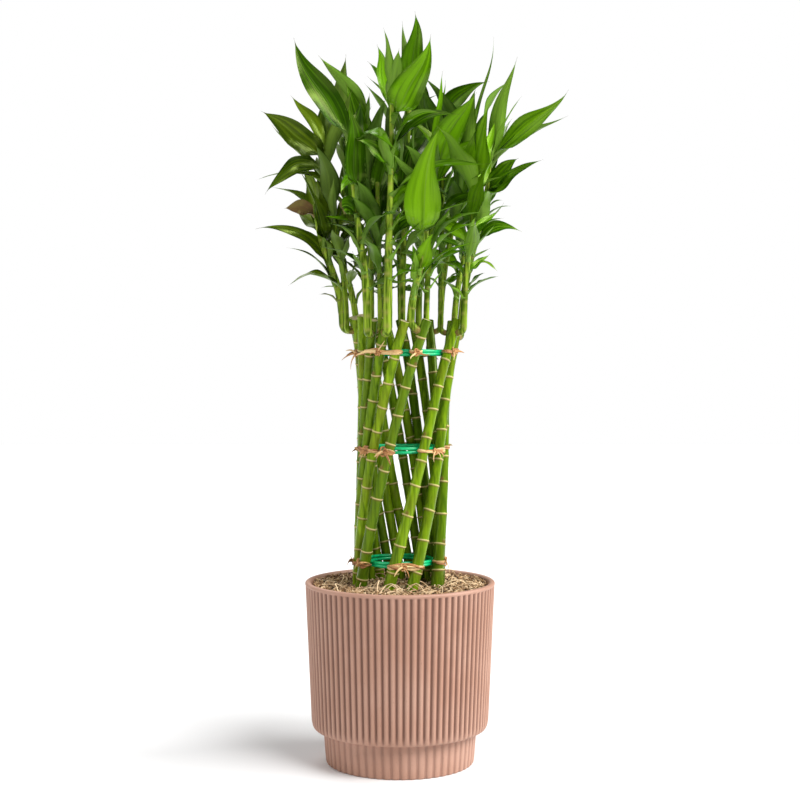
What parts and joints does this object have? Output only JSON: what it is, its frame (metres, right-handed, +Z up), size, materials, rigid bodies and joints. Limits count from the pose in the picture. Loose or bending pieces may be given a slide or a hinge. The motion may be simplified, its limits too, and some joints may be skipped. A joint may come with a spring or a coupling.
{
  "type": "potted lucky bamboo",
  "caption": "Potted lucky bamboo: a twisted ring of green canes bound to hoops in a ribbed planter, with leafy shoots rising from the cane tops.",
  "frame": {"origin": "centre of the pot's flat underside", "axes": "+Z up through the canes, -Y towards the viewer in front, +X to the viewer's right"},
  "size_m": [0.419, 0.3139, 1.005],
  "materials": {
    "pot": "matte dusty terracotta pink, moulded with upright ribs",
    "soil": "dark potting soil",
    "moss": "dry curled tan moss and wood wool",
    "cane": "glossy green cane skin with pale rings",
    "hoop": "glossy green coated wire",
    "raffia": "dry brown raffia",
    "leaf": "satin green leaf with fine lengthwise veins"
  },
  "bodies": {
    "root": {"planter": "pot", "soil": "soil", "moss": "moss", "cane_01": "cane", "cane_02": "cane", "cane_03": "cane", "cane_04": "cane", "cane_05": "cane", "cane_06": "cane", "cane_07": "cane", "cane_08": "cane", "cane_09": "cane", "cane_10": "cane", "cane_11": "cane", "cane_12": "cane", "cane_13": "cane", "cane_14": "cane", "cane_15": "cane", "cane_16": "cane", "cane_17": "cane", "hoop_1": "hoop", "hoop_2": "hoop", "hoop_3": "hoop", "tie_1_1": "raffia", "tie_1_2": "raffia", "tie_1_3": "raffia", "tie_1_4": "raffia", "tie_1_5": "raffia", "tie_2_1": "raffia", "tie_2_2": "raffia", "tie_2_3": "raffia", "tie_2_4": "raffia", "tie_2_5": "raffia", "tie_3_1": "raffia", "tie_3_2": "raffia", "tie_3_3": "raffia", "tie_3_4": "raffia", "tie_3_5": "raffia", "shoot_01": "leaf", "shoot_02": "leaf", "shoot_03": "leaf", "shoot_04": "leaf", "shoot_05": "leaf", "shoot_06": "leaf", "shoot_07": "leaf", "shoot_08": "leaf", "shoot_09": "leaf", "shoot_10": "leaf", "shoot_11": "leaf", "shoot_12": "leaf", "shoot_13": "leaf", "shoot_14": "leaf", "shoot_15": "leaf", "shoot_16": "leaf", "shoot_17": "leaf", "shoot_18": "leaf", "shoot_19": "leaf"}
  },
  "joints": []
}
